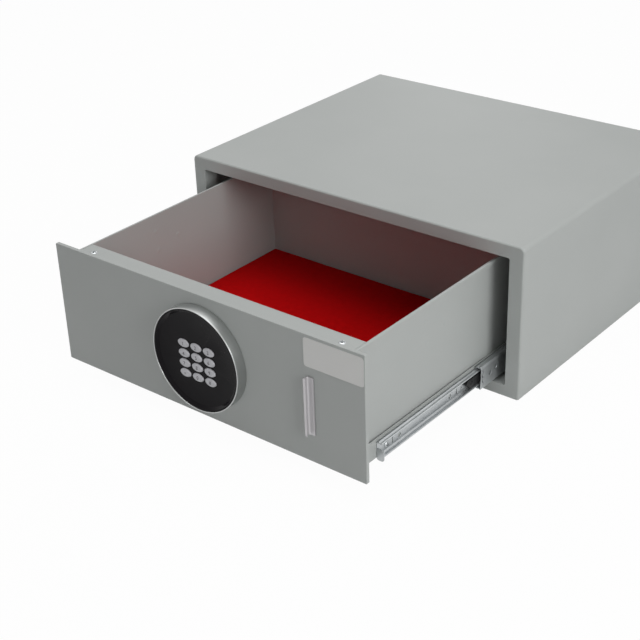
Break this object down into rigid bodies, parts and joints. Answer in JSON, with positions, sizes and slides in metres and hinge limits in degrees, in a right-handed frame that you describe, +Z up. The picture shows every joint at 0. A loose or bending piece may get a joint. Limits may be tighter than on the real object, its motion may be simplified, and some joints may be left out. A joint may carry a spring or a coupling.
{
  "type": "under desk drawer safe",
  "caption": "Low steel drawer safe: folded case, drawer on ball bearing runners, heavy front panel with round keypad, finger pull and motor driven bolts.",
  "frame": {"origin": "centre of the case's flat base", "axes": "+Z up, -Y towards the drawer's front panel, +X to the right of someone facing it"},
  "size_m": [0.412, 0.556, 0.1613],
  "materials": {
    "painted_steel": "light grey fine textured powder coat",
    "zinc_steel": "bright zinc plated",
    "bright_steel": "turned and satin polished",
    "anodised_aluminium": "satin anodised",
    "red_felt": "needle felt",
    "gloss_black": "polished",
    "black_plastic": "moulded",
    "silver_key": "painted silver grey",
    "circuit_green": "solder mask",
    "grey_rubber": "moulded",
    "battery_sleeve": "shrunk sleeve"
  },
  "bodies": {
    "case": {"case_shell": "painted_steel", "case_back": "painted_steel", "runner_bracket_left": "zinc_steel", "runner_bracket_right": "zinc_steel", "outer_runner_left": "zinc_steel", "outer_runner_right": "zinc_steel"},
    "outer_cages": {"outer_ball_cage_left": "bright_steel", "outer_ball_cage_right": "bright_steel"},
    "middle_runners": {"middle_runner_left": "zinc_steel", "middle_runner_right": "zinc_steel"},
    "inner_cages": {"inner_ball_cage_left": "bright_steel", "inner_ball_cage_right": "bright_steel"},
    "drawer": {"drawer_tray": "painted_steel", "drawer_rail_left": "painted_steel", "drawer_rail_right": "painted_steel", "floor_mat": "red_felt", "front_panel": "painted_steel", "lock_cover": "painted_steel", "drawer_runner_left": "zinc_steel", "drawer_runner_right": "zinc_steel", "pull_handle": "anodised_aluminium", "keypad_ring": "bright_steel", "keypad_face": "gloss_black", "keypad_board": "circuit_green", "keypad_rubber_pad": "grey_rubber", "lock_base_plate": "zinc_steel", "gear_motor": "bright_steel", "bolt_guide_left": "black_plastic", "bolt_guide_right": "black_plastic", "battery_holder": "black_plastic", "battery_1": "battery_sleeve", "battery_2": "battery_sleeve", "battery_3": "battery_sleeve", "battery_4": "battery_sleeve", "control_board": "circuit_green"},
    "lever_left": {"release_lever_left": "black_plastic"},
    "lever_right": {"release_lever_right": "black_plastic"},
    "lock_bolts": {"lock_bolt_left": "bright_steel", "lock_bolt_right": "bright_steel", "bolt_bar": "zinc_steel"},
    "pinion": {"drive_pinion": "bright_steel"},
    "key_1": {"key_1": "silver_key"},
    "key_2": {"key_2": "silver_key"},
    "key_3": {"key_3": "silver_key"},
    "key_4": {"key_4": "silver_key"},
    "key_5": {"key_5": "silver_key"},
    "key_6": {"key_6": "silver_key"},
    "key_7": {"key_7": "silver_key"},
    "key_8": {"key_8": "silver_key"},
    "key_9": {"key_9": "silver_key"},
    "key_10": {"key_10": "silver_key"},
    "key_11": {"key_11": "silver_key"},
    "key_12": {"key_12": "silver_key"}
  },
  "joints": [
    {"name": "middle_slide", "type": "slide", "parent": "case", "child": "middle_runners", "axis": [0, -1, 0], "range_m": [-0.0645, 0.0265]},
    {"name": "outer_cage_slide", "type": "slide", "parent": "case", "child": "outer_cages", "axis": [0, -1, 0], "range_m": [-0.03225, 0.01325]},
    {"name": "drawer_slide", "type": "slide", "parent": "middle_runners", "child": "drawer", "axis": [0, -1, 0], "range_m": [-0.1495, 0.0095]},
    {"name": "inner_cage_slide", "type": "slide", "parent": "middle_runners", "child": "inner_cages", "axis": [0, -1, 0], "range_m": [-0.07475, 0.00475]},
    {"name": "lever_left_hinge", "type": "hinge", "parent": "drawer", "child": "lever_left", "pos_m": [-0.1735, -0.201, 0.0278], "axis": [1, 0, 0], "range_deg": [-4, 4], "stiffness_Nm_per_rad": 0.05},
    {"name": "lever_right_hinge", "type": "hinge", "parent": "drawer", "child": "lever_right", "pos_m": [0.1735, -0.201, 0.0278], "axis": [1, 0, 0], "range_deg": [-4, 4], "stiffness_Nm_per_rad": 0.05},
    {"name": "bolt_slide", "type": "slide", "parent": "drawer", "child": "lock_bolts", "axis": [0, 0, -1], "range_m": [0, 0.012]},
    {"name": "pinion_spin", "type": "hinge", "parent": "drawer", "child": "pinion", "pos_m": [0.0045, -0.3627, 0.096], "axis": [0, 1, 0], "range_deg": [0, 92]},
    {"name": "key_1_press", "type": "slide", "parent": "drawer", "child": "key_1", "axis": [0, 1, 0], "range_m": [0, 0.0008], "stiffness_N_per_m": 300},
    {"name": "key_2_press", "type": "slide", "parent": "drawer", "child": "key_2", "axis": [0, 1, 0], "range_m": [0, 0.0008], "stiffness_N_per_m": 300},
    {"name": "key_3_press", "type": "slide", "parent": "drawer", "child": "key_3", "axis": [0, 1, 0], "range_m": [0, 0.0008], "stiffness_N_per_m": 300},
    {"name": "key_4_press", "type": "slide", "parent": "drawer", "child": "key_4", "axis": [0, 1, 0], "range_m": [0, 0.0008], "stiffness_N_per_m": 300},
    {"name": "key_5_press", "type": "slide", "parent": "drawer", "child": "key_5", "axis": [0, 1, 0], "range_m": [0, 0.0008], "stiffness_N_per_m": 300},
    {"name": "key_6_press", "type": "slide", "parent": "drawer", "child": "key_6", "axis": [0, 1, 0], "range_m": [0, 0.0008], "stiffness_N_per_m": 300},
    {"name": "key_7_press", "type": "slide", "parent": "drawer", "child": "key_7", "axis": [0, 1, 0], "range_m": [0, 0.0008], "stiffness_N_per_m": 300},
    {"name": "key_8_press", "type": "slide", "parent": "drawer", "child": "key_8", "axis": [0, 1, 0], "range_m": [0, 0.0008], "stiffness_N_per_m": 300},
    {"name": "key_9_press", "type": "slide", "parent": "drawer", "child": "key_9", "axis": [0, 1, 0], "range_m": [0, 0.0008], "stiffness_N_per_m": 300},
    {"name": "key_10_press", "type": "slide", "parent": "drawer", "child": "key_10", "axis": [0, 1, 0], "range_m": [0, 0.0008], "stiffness_N_per_m": 300},
    {"name": "key_11_press", "type": "slide", "parent": "drawer", "child": "key_11", "axis": [0, 1, 0], "range_m": [0, 0.0008], "stiffness_N_per_m": 300},
    {"name": "key_12_press", "type": "slide", "parent": "drawer", "child": "key_12", "axis": [0, 1, 0], "range_m": [0, 0.0008], "stiffness_N_per_m": 300}
  ],
  "couplings": [
    {"joint": "outer_cage_slide", "follows": "middle_slide", "ratio": 0.5},
    {"joint": "inner_cage_slide", "follows": "drawer_slide", "ratio": 0.5},
    {"joint": "pinion_spin", "follows": "bolt_slide", "rad_per_m": 133.33}
  ]
}
